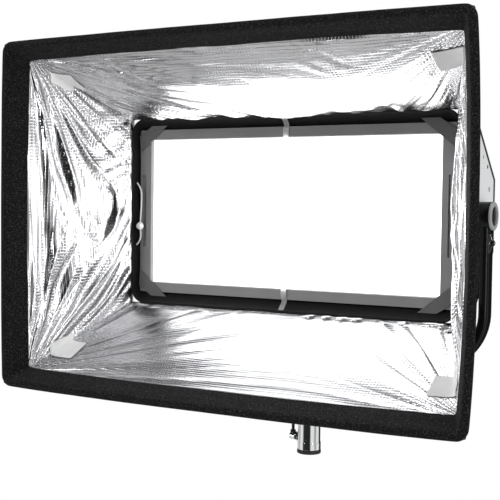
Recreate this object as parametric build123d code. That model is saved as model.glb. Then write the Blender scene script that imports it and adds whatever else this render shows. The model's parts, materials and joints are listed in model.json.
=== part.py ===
"""Strip softbox on an LED panel head, with its tilting yoke and stand socket.

Frame: millimetres, +Z up. The origin is the centre of the stand socket's mouth, the softbox
opens towards -Y, and X runs from the left side plate to the right one. Heights written as
"above axis" are measured from the tilt axis, which crosses X at (y 0, z TILT_Z).
"""
import math
import os

from build123d import *

# ---- yoke and stand socket
TILT_Z = 465.0
ARM_IN, ARM_OUT = 338.0, 356.0
ARM_DEPTH = 35.0
CROSSBAR_BOTTOM = 178.0
YOKE_CORNER_R = 112.0
ARM_FILLET = 8.0
HUB_R = 26.0
SOCKET_R = 22.0
SOCKET_COLLAR_R = 23.0
SOCKET_COLLAR_H = 14.0
SOCKET_BORE_R = 14.4
SOCKET_BORE_LENGTH = 100.0
FLANGE_R, FLANGE_H = 36.0, 9.0
FLANGE_BOLT_X = 28.0
LUG_X = ARM_OUT + 4.0
LUG_Y = -13.5
LUG_Z = TILT_Z - 48.0
LUG_T = 3.0
LUG_R = 6.5
LUG_HOLE_R = 3.4
LOCK_Z = 22.0
LOCK_R = 4.95
RUNNING = 0.05

# ---- lamp head
PANEL_HALF_W, PANEL_HALF_H = 300.0, 140.5
BEZEL_HALF_W, BEZEL_HALF_H = 327.0, 161.0
BEZEL_FRONT_Y, PANEL_Y = -117.0, -109.0
CASE_FRONT_Y = -60.0
CASE_HALF_W, CASE_HALF_H = 335.0, 163.0
SLOPE_START_Y, REAR_Y, REAR_HALF_H = -17.0, 89.5, 68.0
WALL = 2.5
PLATE_IN, PLATE_OUT = 330.0, 333.0
PLATE_HOLES = [(19.0, 107.0, 4.0), (59.0, 49.0, 5.2)]
BEVEL = 1.5
STUB_R = 10.0
KNOB_RING_R, KNOB_RECESS_R = 25.5, 18.0
KNOB_SHANK_R = 6.0
FAN_X = 165.0
FASCIA_X0, FASCIA_X1 = -292.0, -66.0
FASCIA_HALF_H = 52.0
FASCIA_Y = REAR_Y + 3.0

# ---- softbox: half sizes, depth and height of its edges above the tilt axis
FRONT_DROP = -8.9
FRONT_HALF_W, FRONT_HALF_H, FRONT_Y = 437.65, 310.95, -395.0
LIP_HALF_W, LIP_HALF_H, LIP_Y = 411.2, 284.6, -355.0
LIP_FRONT_HALF_W, LIP_FRONT_HALF_H, LIP_FRONT_Y = 430.9, 304.2, -385.0
LINING_HALF_W, LINING_HALF_H, LINING_Y = 336.0, 181.5, -133.0
SHELL_HALF_W, SHELL_HALF_H, SHELL_Y = 344.0, 189.0, -128.0
SHELL_FRONT_HALF_W, SHELL_FRONT_HALF_H = 434.2, 307.4
COLLAR_HALF_W, COLLAR_HALF_H, COLLAR_Y = 329.0, 163.0, -112.0
SLEEVE_END_Y = -63.0
FABRIC = 2.0
ROD_R = 3.0
ROD_BOW = {"top": 2.0, "bottom": 4.5, "left": 3.0, "right": 8.5}
ELBOW_R, ELBOW_LEG = 4.0, 30.0
CORNER_ROD_R = 1.4
STRAP_T = 1.2
CORD_R = 1.5
BALL_R = 7.5
CORD_ROUTE = [
    (-331.0, -124.0, 56.0), (-321.5, -123.5, 48.0), (-319.0, -124.0, 22.0),
    (-322.0, -125.5, -30.0), (-319.5, -124.0, -58.0), (-331.0, -124.0, -68.0),
]

SIDES = {"left": -1, "right": 1}
ENDS = {"top": 1, "bottom": -1}
CORNERS = [(v, s) for v in ENDS for s in SIDES]


# ---- shared shapes
def block(x0, x1, y0, y1, z0, z1):
    """A box between two corners."""
    centre = Pos((x0 + x1) / 2, (y0 + y1) / 2, (z0 + z1) / 2)
    return centre * Box(abs(x1 - x0), abs(y1 - y0), abs(z1 - z0))


def round_x(radius, x0, x1, y, z):
    """A cylinder along X between x0 and x1."""
    return Pos((x0 + x1) / 2, y, z) * Rot(0, 90, 0) * Cylinder(radius, abs(x1 - x0))


def round_y(radius, x, y0, y1, z):
    """A cylinder along Y between y0 and y1."""
    return Pos(x, (y0 + y1) / 2, z) * Rot(90, 0, 0) * Cylinder(radius, abs(y1 - y0))


def round_z(radius, x, y, z0, z1):
    """A cylinder along Z between z0 and z1."""
    return Pos(x, y, (z0 + z1) / 2) * Cylinder(radius, abs(z1 - z0))


def polygon_slab(points, away, thickness):
    """A flat polygon thickened by thickness, to the side that away points to."""
    face = Face(Wire.make_polygon([Vector(*p) for p in points], close=True))
    normal = face.normal_at()
    direction = normal if normal.dot(Vector(*away)) > 0 else -normal
    return extrude(face, amount=thickness, dir=direction)


def prism_x(points_yz, x0, x1):
    """A prism along X whose section is given as (y, z) points."""
    return polygon_slab([(x0, y, z) for y, z in points_yz], (x1 - x0, 0, 0), abs(x1 - x0))


def strip_x(points_yz, x0, x1, thickness):
    """A webbing strip of given width along X that follows (y, z) points."""
    strip = None
    for (ya, za), (yb, zb) in zip(points_yz, points_yz[1:]):
        length = math.hypot(yb - ya, zb - za)
        ny, nz = (zb - za) / length * thickness / 2, -(yb - ya) / length * thickness / 2
        run = [(ya + ny, za + nz), (yb + ny, zb + nz), (yb - ny, zb - nz), (ya - ny, za - nz)]
        piece = prism_x(run, x0, x1)
        strip = piece if strip is None else strip + piece
    for y, z in points_yz[1:-1]:
        strip = strip + round_x(thickness / 2, x0, x1, y, z)
    return strip


def rod(start, end, radius):
    """A straight round rod between two points."""
    a, b = Vector(*start), Vector(*end)
    return Plane(origin=a, z_dir=b - a) * Cylinder(radius, (b - a).length,
                                                   align=(Align.CENTER, Align.CENTER, Align.MIN))


def window(half_w, half_h, y0, y1, z=TILT_Z):
    """The box inside a rectangular frame that faces -Y."""
    return block(-half_w, half_w, y0, y1, z - half_h, z + half_h)


def group(pieces):
    """Separate solids kept together in one node."""
    return Compound(children=list(pieces))


def save(name, shape):
    """Writes one sub-part to its own STEP file."""
    export_step(shape, f"parts/{name}.step")


# ---- yoke, stand socket and its lock
def yoke_bow():
    """U-shaped bar of the yoke: two arms and a crossbar with large bent corners and rounded edges."""
    outer = Pos(0, (TILT_Z + CROSSBAR_BOTTOM) / 2) * Rectangle(2 * ARM_OUT, TILT_Z - CROSSBAR_BOTTOM)
    outer = fillet(outer.vertices().group_by(Axis.Y)[0], YOKE_CORNER_R)
    wall = ARM_OUT - ARM_IN
    bottom = CROSSBAR_BOTTOM + wall
    inner = Pos(0, (TILT_Z + bottom) / 2) * Rectangle(2 * ARM_IN, TILT_Z - bottom)
    inner = fillet(inner.vertices().group_by(Axis.Y)[0], YOKE_CORNER_R - wall)
    bow = extrude(Plane.XZ * (outer - inner), amount=ARM_DEPTH / 2, both=True)
    return fillet(bow.edges().filter_by_position(Axis.Z, CROSSBAR_BOTTOM - 1, TILT_Z - 1)
                  .filter_by(Axis.Y, reverse=True), ARM_FILLET)


def yoke_frame():
    """The bar with its round hubs and the holes for axles, clamps and socket bolts."""
    bow = yoke_bow()
    crossbar_top = CROSSBAR_BOTTOM + ARM_OUT - ARM_IN
    for s in SIDES.values():
        bow = bow + round_x(HUB_R, s * ARM_IN, s * ARM_OUT, 0, TILT_Z)
        bow = bow - round_x(STUB_R + RUNNING, s * (ARM_IN - 1), s * 350.0, 0, TILT_Z)
        bow = bow - round_x(KNOB_SHANK_R + RUNNING, s * 349.0, s * (ARM_OUT + 1), 0, TILT_Z)
        bow = bow - round_z(4.0, s * FLANGE_BOLT_X, 0, CROSSBAR_BOTTOM - 1, crossbar_top + 1)
    return bow


def stand_socket():
    """Plated tube with a blind bore for a 28.6 mm spigot, a bolted flange and a lower collar."""
    top = CROSSBAR_BOTTOM
    body = round_z(SOCKET_R, 0, 0, 0, top) + round_z(FLANGE_R, 0, 0, top - FLANGE_H, top)
    body = body + round_z(SOCKET_COLLAR_R, 0, 0, 0, SOCKET_COLLAR_H)
    body = body + round_z(SOCKET_R + 6, 0, 0, top - FLANGE_H - 12, top - FLANGE_H)
    body = chamfer(body.edges().filter_by(GeomType.CIRCLE).sort_by(Axis.Z)[0:1], 0.8)
    body = body - round_z(SOCKET_BORE_R, 0, 0, -1, SOCKET_BORE_LENGTH)
    body = body - round_x(LOCK_R + RUNNING, -SOCKET_COLLAR_R - 1, -SOCKET_BORE_R + 2, 0, LOCK_Z)
    for s in SIDES.values():
        body = body - round_z(3.4, s * FLANGE_BOLT_X, 0, top - FLANGE_H - 1, top + 1)
    return body


def socket_ring():
    """Black rubber buffer under the socket's mouth."""
    ring = round_z(SOCKET_COLLAR_R + 0.6, 0, 0, -7.5, 0)
    ring = fillet(ring.edges().filter_by(GeomType.CIRCLE), 1.6)
    return ring - round_z(SOCKET_BORE_R + 1.2, 0, 0, -8.5, 1)


def socket_bolts():
    """Two M8 screws that hold the socket's flange under the crossbar."""
    top = CROSSBAR_BOTTOM + ARM_OUT - ARM_IN
    bolts = []
    for s in SIDES.values():
        bolt = round_z(3.4, s * FLANGE_BOLT_X, 0, CROSSBAR_BOTTOM - FLANGE_H, top)
        head = round_z(6.5, s * FLANGE_BOLT_X, 0, top, top + 5)
        head = head - Pos(s * FLANGE_BOLT_X, 0, top + 4) * extrude(RegularPolygon(3.2, 6), amount=2)
        bolts.append(bolt + head)
    return group(bolts)


def lock_nut():
    """Hexagon nut fixed to the socket wall, which the lock screw runs in."""
    section = Plane(origin=(-SOCKET_COLLAR_R - 6.5, 0, LOCK_Z), z_dir=(1, 0, 0)) * RegularPolygon(9.0, 6)
    return extrude(section, amount=6.2) - round_x(LOCK_R + RUNNING, -30, -20, 0, LOCK_Z) \
        - round_z(SOCKET_R + 0.4, 0, 0, LOCK_Z - 20, LOCK_Z + 20)


def lock_screw():
    """Screw with a round head that carries the handle bar; its nose holds the brass shoe."""
    screw = round_x(LOCK_R, -31, -17.2, 0, LOCK_Z)
    head = round_x(6.6, -41.5, -30.2, 0, LOCK_Z)
    head = chamfer(head.edges().filter_by(GeomType.CIRCLE), 0.8)
    screw = screw + head - round_x(2.05, -25, -16, 0, LOCK_Z)
    screw = screw - round_x(4.2, -45, -39.5, 0, LOCK_Z)
    return screw - round_z(3.0, -35.5, 0, LOCK_Z + 2.5, LOCK_Z + 20)


def lock_bar():
    """One-sided handle bar with a collar at the screw head and a ball at its free end."""
    bar = round_z(3.0, -35.5, 0, LOCK_Z + 2.5, LOCK_Z + 52)
    collar = round_z(5.4, -35.5, 0, LOCK_Z + 7.0, LOCK_Z + 12.0)
    collar = chamfer(collar.edges().filter_by(GeomType.CIRCLE), 0.6)
    ball = Pos(-35.5, 0, LOCK_Z + 54) * Sphere(4.6)
    return bar + collar + ball


def lock_shoe():
    """Brass shoe that the screw presses on the spigot; its face is flush with the bore."""
    shoe = round_x(4.6, -17.0, -SOCKET_BORE_R - 0.25, 0, LOCK_Z) + round_x(2.0, -24, -17, 0, LOCK_Z)
    return shoe


def safety_lug(side):
    """Steel eye plate on the outer face of an arm, for a safety cable."""
    s = SIDES[side]
    face = ARM_OUT - ARM_FILLET / 2
    outline = [(face, 17), (ARM_OUT + 3, 17), (ARM_OUT + 5, 5), (ARM_OUT + 5, -5), (ARM_OUT + 2, -17), (face, -17)]
    points = [(s * x, LUG_Y, LUG_Z + z) for x, z in outline]
    tab = polygon_slab(points, (0, 1, 0), LUG_T) + round_y(LUG_R, s * LUG_X, LUG_Y, LUG_Y + LUG_T, LUG_Z)
    foot = block(s * face, s * (ARM_OUT + 2.0), LUG_Y, 6.0, LUG_Z + 5, LUG_Z + 17)
    eye = round_y(LUG_HOLE_R, s * LUG_X, LUG_Y - 1, LUG_Y + LUG_T + 1, LUG_Z)
    return tab + foot - eye - yoke_bow()


# ---- tilt pivots and clamps
def pivot_stub(side):
    """Flanged axle bolted inside a side plate, which turns in the yoke's hub."""
    s = SIDES[side]
    return round_x(STUB_R, s * (PLATE_IN - 1), s * 349.5, 0, TILT_Z) \
        + round_x(24.0, s * (PLATE_IN - 6), s * PLATE_IN, 0, TILT_Z)


def friction_washer(side):
    """Black fibre washer between a side plate and the yoke's hub."""
    s = SIDES[side]
    disc = round_x(HUB_R - 0.5, s * PLATE_OUT, s * (ARM_IN - 0.3), 0, TILT_Z)
    return disc - round_x(STUB_R, s * (PLATE_OUT - 1), s * ARM_IN, 0, TILT_Z)


def knob_ring(side):
    """Grey metal ring round a tilt clamp knob."""
    s = SIDES[side]
    ring = round_x(KNOB_RING_R, s * (ARM_OUT + 0.4), s * (ARM_OUT + 5.4), 0, TILT_Z)
    ring = chamfer(ring.edges().filter_by(GeomType.CIRCLE), 0.8)
    return ring - round_x(KNOB_RECESS_R, s * ARM_OUT, s * (ARM_OUT + 6), 0, TILT_Z)


def knob_core(side):
    """Black dished core of a tilt clamp knob with a finger bar and a threaded shank."""
    s = SIDES[side]
    disc = round_x(KNOB_RECESS_R, s * (ARM_OUT + 0.4), s * (ARM_OUT + 2.0), 0, TILT_Z)
    shank = round_x(KNOB_SHANK_R, s * 350.0, s * (ARM_OUT + 1), 0, TILT_Z)
    grip = block(s * (ARM_OUT + 1), s * (ARM_OUT + 4.6), -3.5, 3.5, TILT_Z - 15, TILT_Z + 15)
    return disc + shank + grip


# ---- lamp head casing
def case_section(inset, front_y):
    """(y, z) outline of the head's sloped section, moved inwards by inset."""
    slope = (CASE_HALF_H - REAR_HALF_H) / (REAR_Y - SLOPE_START_Y)
    shift = inset * math.tan(math.atan(slope) / 2)
    rear_shift = inset * math.tan((math.pi / 2 - math.atan(slope)) / 2)
    top = CASE_HALF_H - inset
    rear = REAR_HALF_H - rear_shift
    half = [(front_y, top), (SLOPE_START_Y - shift, top), (REAR_Y - inset, rear)]
    mirrored = [(y, -z) for y, z in reversed(half)]
    return [(y, TILT_Z + z) for y, z in half + mirrored]


def rear_housing():
    """Bent sheet casing behind the side plates, with fan slots and a control cut-out."""
    shell = prism_x(case_section(0, CASE_FRONT_Y), -CASE_HALF_W, CASE_HALF_W)
    shell = shell - prism_x(case_section(WALL, CASE_FRONT_Y - 5), -CASE_HALF_W - 1, CASE_HALF_W + 1)
    for x_centre in (FAN_X, FAN_X + 100):
        for k in range(-5, 6):
            half = math.sqrt(max(38.0 ** 2 - (k * 7.0) ** 2, 0)) * 0.98
            shell = shell - block(x_centre + k * 7 - 1.7, x_centre + k * 7 + 1.7, 80, 95,
                                  TILT_Z - half, TILT_Z + half)
    shell = shell - block(FASCIA_X0 + 8, FASCIA_X1 - 8, 80, 95,
                          TILT_Z - FASCIA_HALF_H + 8, TILT_Z + FASCIA_HALF_H - 8)
    return shell


def side_plate(side):
    """Light metal end plate with four accessory holes and the pivot hole."""
    s = SIDES[side]
    plate = prism_x(case_section(WALL + 0.8, CASE_FRONT_Y + 1), s * PLATE_IN, s * PLATE_OUT)
    for y, z, radius in PLATE_HOLES:
        for v in ENDS.values():
            plate = plate - round_x(radius, s * 320, s * 340, y, TILT_Z + v * z)
    return plate - round_x(STUB_R, s * 320, s * 340, 0, TILT_Z)


def front_bezel():
    """Front frame of the head: a bevelled window flange, deep edges and two long recesses."""
    frame = window(BEZEL_HALF_W, BEZEL_HALF_H, BEZEL_FRONT_Y, CASE_FRONT_Y)
    frame = fillet(frame.edges().filter_by(Axis.Y), 4.0)
    frame = frame - window(BEZEL_HALF_W - WALL, BEZEL_HALF_H - WALL, PANEL_Y, CASE_FRONT_Y + 1)
    frame = frame - window(PANEL_HALF_W, PANEL_HALF_H, BEZEL_FRONT_Y - 1, PANEL_Y + 1)
    bevel = loft([Plane(origin=(0, BEZEL_FRONT_Y - 0.01, TILT_Z), x_dir=(1, 0, 0), z_dir=(0, -1, 0))
                  * Rectangle(2 * (PANEL_HALF_W + BEVEL), 2 * (PANEL_HALF_H + BEVEL)),
                  Plane(origin=(0, PANEL_Y - 1, TILT_Z), x_dir=(1, 0, 0), z_dir=(0, -1, 0))
                  * Rectangle(2 * PANEL_HALF_W, 2 * PANEL_HALF_H)])
    frame = frame - bevel
    for s in SIDES.values():
        frame = frame - block(s * 313.5, s * 321.5, BEZEL_FRONT_Y - 1, BEZEL_FRONT_Y + 3,
                              TILT_Z - 71, TILT_Z + 71)
    return frame


def diffuser_panel():
    """Opal sheet behind the window flange."""
    return window(PANEL_HALF_W + 12, PANEL_HALF_H + 11, PANEL_Y, PANEL_Y + 3)


def reflector_tray():
    """White mixing box between the opal sheet and the light board."""
    y0, y1 = PANEL_Y + 3, -80.0
    tray = window(PANEL_HALF_W + 12, PANEL_HALF_H + 11, y0, y1)
    return tray - window(PANEL_HALF_W + 10, PANEL_HALF_H + 9, y0 - 1, y1 + 1)


def led_board():
    """Circuit board that carries the light emitters."""
    return window(PANEL_HALF_W + 12, PANEL_HALF_H + 11, -80.0, -78.0)


def led_emitters():
    """Rows of light emitters on the board."""
    pitch = 42.0
    return group([block(i * pitch - 3, i * pitch + 3, -82, -80, TILT_Z + j * pitch - 3,
                        TILT_Z + j * pitch + 3)
                  for i in range(-6, 7) for j in range(-2, 3)])


def heat_sink():
    """Aluminium back plate with upright cooling fins."""
    sink = window(PANEL_HALF_W + 12, PANEL_HALF_H + 11, -78.0, -72.0)
    for i in range(-11, 12):
        sink = sink + block(i * 26 - 1.5, i * 26 + 1.5, -72.5, -36, TILT_Z - 135, TILT_Z + 135)
    return sink


def chassis_plate():
    """Cross plate between the side plates that carries the electronics."""
    return block(-PLATE_IN, PLATE_IN, -33, 58, TILT_Z - 62, TILT_Z - 60)


def power_supply():
    """Enclosed mains power supply on the chassis plate."""
    return block(40, 250, -28, 45, TILT_Z - 60, TILT_Z - 12)


def driver_board():
    """Dimmer circuit board standing on four posts."""
    board = block(-250, -40, -28, 45, TILT_Z - 50, TILT_Z - 48)
    for x in (-240, -50):
        for y in (-20, 37):
            board = board + round_z(3, x, y, TILT_Z - 60, TILT_Z - 50)
    return board


def fan_frame(x):
    """Square fan housing behind the rear slots."""
    y0, y1 = REAR_Y - WALL - 25.0, REAR_Y - WALL
    frame = block(x - 40, x + 40, y0, y1, TILT_Z - 40, TILT_Z + 40)
    frame = frame - round_y(37.5, x, y0 - 1, y1 + 1, TILT_Z)
    frame = frame + block(x - 38, x + 38, y0, y0 + 3, TILT_Z - 2.5, TILT_Z + 2.5)
    frame = frame + block(x - 2.5, x + 2.5, y0, y0 + 3, TILT_Z - 38, TILT_Z + 38)
    return frame + round_y(3.0, x, y0 + 2, y1 - 3, TILT_Z)


def fan_rotor(x):
    """Fan wheel: a hub with seven pitched blades on the frame's spindle."""
    y0, y1 = REAR_Y - WALL - 20.0, REAR_Y - WALL - 4.0
    wheel = round_y(15, x, y0, y1, TILT_Z)
    blade = Pos(0, 0, 24) * Rot(0, 0, 40) * Box(20, 1.6, 21)
    for k in range(7):
        wheel = wheel + Pos(x, (y0 + y1) / 2, TILT_Z) * Rot(0, k * 360 / 7, 0) * blade
    return wheel - round_y(3.0 + RUNNING, x, y0 - 2, y1 + 2, TILT_Z)


def housing_screws():
    """Pan screws round the edge of both side plates."""
    places = [(-50, 140), (-50, 0), (-50, -140), (40, 90), (40, -90), (78, 0)]
    return group([round_x(3.6, s * PLATE_OUT, s * (PLATE_OUT + 1.8), y, TILT_Z + z)
                  for s in SIDES.values() for y, z in places])


# ---- controls on the back of the head
KNOBS = {"intensity_knob": (-110.0, 22.0), "colour_knob": (-150.0, 22.0), "menu_knob": (-225.0, -30.0)}
BUTTONS = {f"button_{k + 1}": (-252.0 + 18.0 * k, 2.0) for k in range(3)}
ROCKER_X, ROCKER_Z = -92.0, -24.0
SOCKETS = {"power_inlet": (-22.0, -30.0), "data_in_socket": (22.0, 12.0), "data_out_socket": (-22.0, 12.0)}


def control_fascia():
    """Moulded control plate with openings for the display, knobs, buttons and switch."""
    plate = block(FASCIA_X0, FASCIA_X1, REAR_Y, FASCIA_Y, TILT_Z - FASCIA_HALF_H, TILT_Z + FASCIA_HALF_H)
    plate = fillet(plate.edges().filter_by(Axis.Y), 6.0)
    plate = plate - block(-262, -188, REAR_Y - 1, FASCIA_Y + 1, TILT_Z + 14, TILT_Z + 46)
    for x, z in KNOBS.values():
        plate = plate - round_y(3.05, x, REAR_Y - 1, FASCIA_Y + 1, TILT_Z + z)
    for x, z in BUTTONS.values():
        plate = plate - round_y(4.55, x, REAR_Y - 1, FASCIA_Y + 1, TILT_Z + z)
    y, z = REAR_Y - 2.0, TILT_Z + ROCKER_Z
    plate = plate - block(ROCKER_X - 9, ROCKER_X + 9, REAR_Y - 1, FASCIA_Y + 1, z - 13, z + 13)
    for s in SIDES.values():
        cheek = block(ROCKER_X + s * 9.2, ROCKER_X + s * 12, y - 3, REAR_Y + 1, z - 3, z + 3)
        plate = plate + (cheek - round_x(1.55, ROCKER_X + s * 9, ROCKER_X + s * 13, y, z))
    return plate


def display_glass():
    """Cover glass of the display, flush in the fascia."""
    return block(-262, -188, REAR_Y + 0.5, FASCIA_Y - 0.3, TILT_Z + 14, TILT_Z + 46)


def control_knob(x, z):
    """Knurled encoder knob on a short shaft through the fascia."""
    knob = round_y(10.5, x, FASCIA_Y + 0.4, FASCIA_Y + 15, TILT_Z + z)
    knob = chamfer(knob.edges().filter_by(GeomType.CIRCLE), 0.8)
    for k in range(18):
        turn = 2 * math.pi * k / 18
        knob = knob - round_y(0.9, x + 10.7 * math.cos(turn), FASCIA_Y, FASCIA_Y + 13,
                              TILT_Z + z + 10.7 * math.sin(turn))
    return knob + round_y(3.0, x, REAR_Y - 6, FASCIA_Y + 1, TILT_Z + z)


def push_button(x, z):
    """Round key that travels through the fascia."""
    cap = round_y(4.5, x, REAR_Y - 3, FASCIA_Y + 2.6, TILT_Z + z)
    return fillet(cap.edges().filter_by(GeomType.CIRCLE).sort_by(Axis.Y)[-1:], 0.6)


def power_rocker():
    """Rocker of the mains switch with the trunnions that it turns on."""
    y = REAR_Y - 2.0
    z = TILT_Z + ROCKER_Z
    section = [(y - 2, z - 8), (FASCIA_Y + 0.4, z - 11), (FASCIA_Y - 0.2, z), (FASCIA_Y + 2.6, z + 11), (y - 2, z + 8)]
    return prism_x(section, ROCKER_X - 8.6, ROCKER_X + 8.6) + round_x(1.5, ROCKER_X - 11.5, ROCKER_X + 11.5, y, z)


def panel_socket(x, z):
    """Round panel socket with a square flange, an open cup and a keyed centre."""
    y0, y1 = REAR_Y, REAR_Y + 2.5
    body = block(x - 14, x + 14, y0, y1, TILT_Z + z - 16, TILT_Z + z + 16)
    body = fillet(body.edges().filter_by(Axis.Y), 2.0) + round_y(12, x, y0, y0 + 7, TILT_Z + z)
    return body - round_y(9.5, x, y0 + 1.0, y0 + 8, TILT_Z + z)


# ---- softbox fabric
def ring_point(half_w, half_h, y, s, v, drop):
    """One corner of a rectangular edge of the softbox."""
    return (s * half_w, y, TILT_Z + drop + v * half_h)


def wall_panel(place, rear, front, thickness, away=1):
    """One flat fabric wall between a rear and a front rectangle, thickened outwards."""
    (rw, rh, ry, rdrop), (fw, fh, fy, fdrop) = rear, front
    if place in ENDS:
        v = ENDS[place]
        points = [ring_point(rw, rh, ry, -1, v, rdrop), ring_point(rw, rh, ry, 1, v, rdrop),
                  ring_point(fw, fh, fy, 1, v, fdrop), ring_point(fw, fh, fy, -1, v, fdrop)]
        return polygon_slab(points, (0, 0, v * away), thickness)
    s = SIDES[place]
    points = [ring_point(rw, rh, ry, s, -1, rdrop), ring_point(rw, rh, ry, s, 1, rdrop),
              ring_point(fw, fh, fy, s, 1, fdrop), ring_point(fw, fh, fy, s, -1, fdrop)]
    return polygon_slab(points, (s * away, 0, 0), thickness)


LINING_REAR = (LINING_HALF_W, LINING_HALF_H, LINING_Y, 0.0)
LINING_FRONT = (LIP_HALF_W - 0.6, LIP_HALF_H - 0.6, LIP_Y + 2.0, FRONT_DROP)
SHELL_REAR = (SHELL_HALF_W, SHELL_HALF_H, SHELL_Y, 0.0)
SHELL_FRONT = (SHELL_FRONT_HALF_W, SHELL_FRONT_HALF_H, LIP_FRONT_Y, FRONT_DROP)
LIP_REAR = (LIP_HALF_W, LIP_HALF_H, LIP_Y, FRONT_DROP)
LIP_FRONT = (LIP_FRONT_HALF_W, LIP_FRONT_HALF_H, LIP_FRONT_Y, FRONT_DROP)
COLLAR_FRONT = (LINING_HALF_W, LINING_HALF_H, LINING_Y + 2.0, 0.0)
COLLAR_REAR = (COLLAR_HALF_W, COLLAR_HALF_H, COLLAR_Y, 0.0)
SLEEVE_REAR = (COLLAR_HALF_W, COLLAR_HALF_H, SLEEVE_END_Y, 0.0)


def collar(place):
    """Black rear collar: a flared band and a sleeve that fits round the head's front edge."""
    band = wall_panel(place, COLLAR_REAR, COLLAR_FRONT, FABRIC)
    sleeve = wall_panel(place, SLEEVE_REAR, COLLAR_REAR, FABRIC)
    return band + sleeve


def rear_frame():
    """Flat metal frame that holds the softbox's rear opening in shape."""
    frame = window(SHELL_HALF_W - 0.5, SHELL_HALF_H - 0.3, -130, -122)
    return frame - window(SHELL_HALF_W - 4.5, SHELL_HALF_H - 4.3, -131, -121)


ROD_X = FRONT_HALF_W - ELBOW_R
ROD_H = FRONT_HALF_H - ELBOW_R
ROD_Y = FRONT_Y + ELBOW_R
FRONT_Z = TILT_Z + FRONT_DROP


def front_rod(place):
    """Sprung rod of the front frame between two elbows, bowed outwards."""
    if place in ENDS:
        v = ENDS[place]
        reach, height = ROD_X - ELBOW_LEG, FRONT_Z + v * ROD_H
        ends = [(-reach, ROD_Y, height), (reach, ROD_Y, height)]
        middle = (0, ROD_Y, height + v * ROD_BOW[place])
    else:
        s = SIDES[place]
        reach = ROD_H - ELBOW_LEG
        ends = [(s * ROD_X, ROD_Y, FRONT_Z - reach), (s * ROD_X, ROD_Y, FRONT_Z + reach)]
        middle = (s * (ROD_X + ROD_BOW[place]), ROD_Y, FRONT_Z)
    path = ThreePointArc(ends[0], middle, ends[1])
    return sweep(Plane(origin=path @ 0, z_dir=path % 0) * Circle(ROD_R), path=path)


def front_elbows():
    """Four moulded elbows that join the front rods."""
    elbows = []
    for end, side in CORNERS:
        x, z = SIDES[side] * ROD_X, FRONT_Z + ENDS[end] * ROD_H
        leg_x = round_x(ELBOW_R, x, x - SIDES[side] * ELBOW_LEG, ROD_Y, z)
        leg_z = round_z(ELBOW_R, x, ROD_Y, z, z - ENDS[end] * ELBOW_LEG)
        elbows.append(leg_x + leg_z + Pos(x, ROD_Y, z) * Sphere(ELBOW_R))
    return group(elbows)


def corner_rod(end, side):
    """Sprung rod along one corner, between the lining and the shell."""
    s, v = SIDES[side], ENDS[end]
    start = (s * 340.7, -133.0, TILT_Z + v * 186.2)
    finish = (s * 431.6, -383.0, FRONT_Z + v * 305.1)
    return rod(start, finish, CORNER_ROD_R)


def lining_point(end, side, y, along_x=0.0, along_z=0.0):
    """A point of the lining's corner seam at depth y, moved along one of its two walls."""
    s, v = SIDES[side], ENDS[end]
    t = (LINING_Y - y) / (LINING_Y - LINING_FRONT[2])
    half_w = LINING_REAR[0] + t * (LINING_FRONT[0] - LINING_REAR[0])
    half_h = LINING_REAR[1] + t * (LINING_FRONT[1] - LINING_REAR[1])
    inner = 0.5
    return (s * (half_w - along_x - inner), y, TILT_Z + t * FRONT_DROP + v * (half_h - along_z - inner))


def rod_pocket(end, side):
    """White patch folded over a corner seam of the lining, which holds the corner rod's end."""
    s, v = SIDES[side], ENDS[end]
    seam = [lining_point(end, side, -318), lining_point(end, side, -258)]
    flat = seam + [lining_point(end, side, -262, along_x=46), lining_point(end, side, -318, along_x=66)]
    upright = seam + [lining_point(end, side, -256, along_z=20), lining_point(end, side, -313, along_z=30)]
    return polygon_slab(flat, (0, 0, -v), 0.8) + polygon_slab(upright, (-s, 0, 0), 0.8)


def corner_strap(end, side):
    """Grey webbing across a corner of the head's front frame."""
    s, v = SIDES[side], ENDS[end]
    outline = [(297, 169), (262, 169), (296, 141), (325, 118), (327, 150)]
    points = [(s * x, -119.0, TILT_Z + v * z) for x, z in outline]
    return polygon_slab(points, (0, -1, 0), STRAP_T)


def centre_strap():
    """White webbing from the top to the bottom of the collar, across the head's window."""
    half = [(-129.6, 178.2), (-114.6, 163.6), (-120.5, 160.0)]
    path = [(y, TILT_Z + z) for y, z in half] + [(y, TILT_Z - z) for y, z in reversed(half)]
    return strip_x(path, -5.5, 5.5, STRAP_T)


def toggle_cord():
    """Elastic cord along the collar, made of straight runs joined by arcs."""
    points = [Vector(x, y, TILT_Z + z) for x, y, z in CORD_ROUTE]
    radii = []
    for before, here, after in zip(points, points[1:], points[2:]):
        turn = math.radians((here - before).get_angle(after - here))
        run = min((here - before).length, (after - here).length)
        radii.append(0.45 * run / math.tan(turn / 2))
    print("toggle cord radii", [round(r, 1) for r in radii])
    path = FilletPolyline(*points, radius=radii)
    start = Plane(origin=points[0], z_dir=points[1] - points[0])
    tube = sweep(start * Circle(CORD_R), path=path)
    print("toggle cord length", round(path.length, 1), "volume ratio",
          round(tube.volume / (math.pi * CORD_R ** 2 * path.length), 3))
    return tube


def cord_ball():
    """White ball that the elastic cord runs through."""
    x, y, z = CORD_ROUTE[3]
    return Pos(x, y, TILT_Z + z) * Sphere(BALL_R)


def save_yoke():
    """Yoke, socket and lock."""
    save("yoke_frame", yoke_frame())
    save("stand_socket", stand_socket())
    save("socket_ring", socket_ring())
    save("socket_bolts", socket_bolts())
    save("lock_nut", lock_nut())
    save("lock_screw", lock_screw())
    save("lock_bar", lock_bar())
    save("lock_shoe", lock_shoe())
    save("safety_lugs", group([safety_lug(side) for side in SIDES]))
    for side in SIDES:
        save(f"tilt_knob_ring_{side}", knob_ring(side))
        save(f"tilt_knob_core_{side}", knob_core(side))


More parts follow.
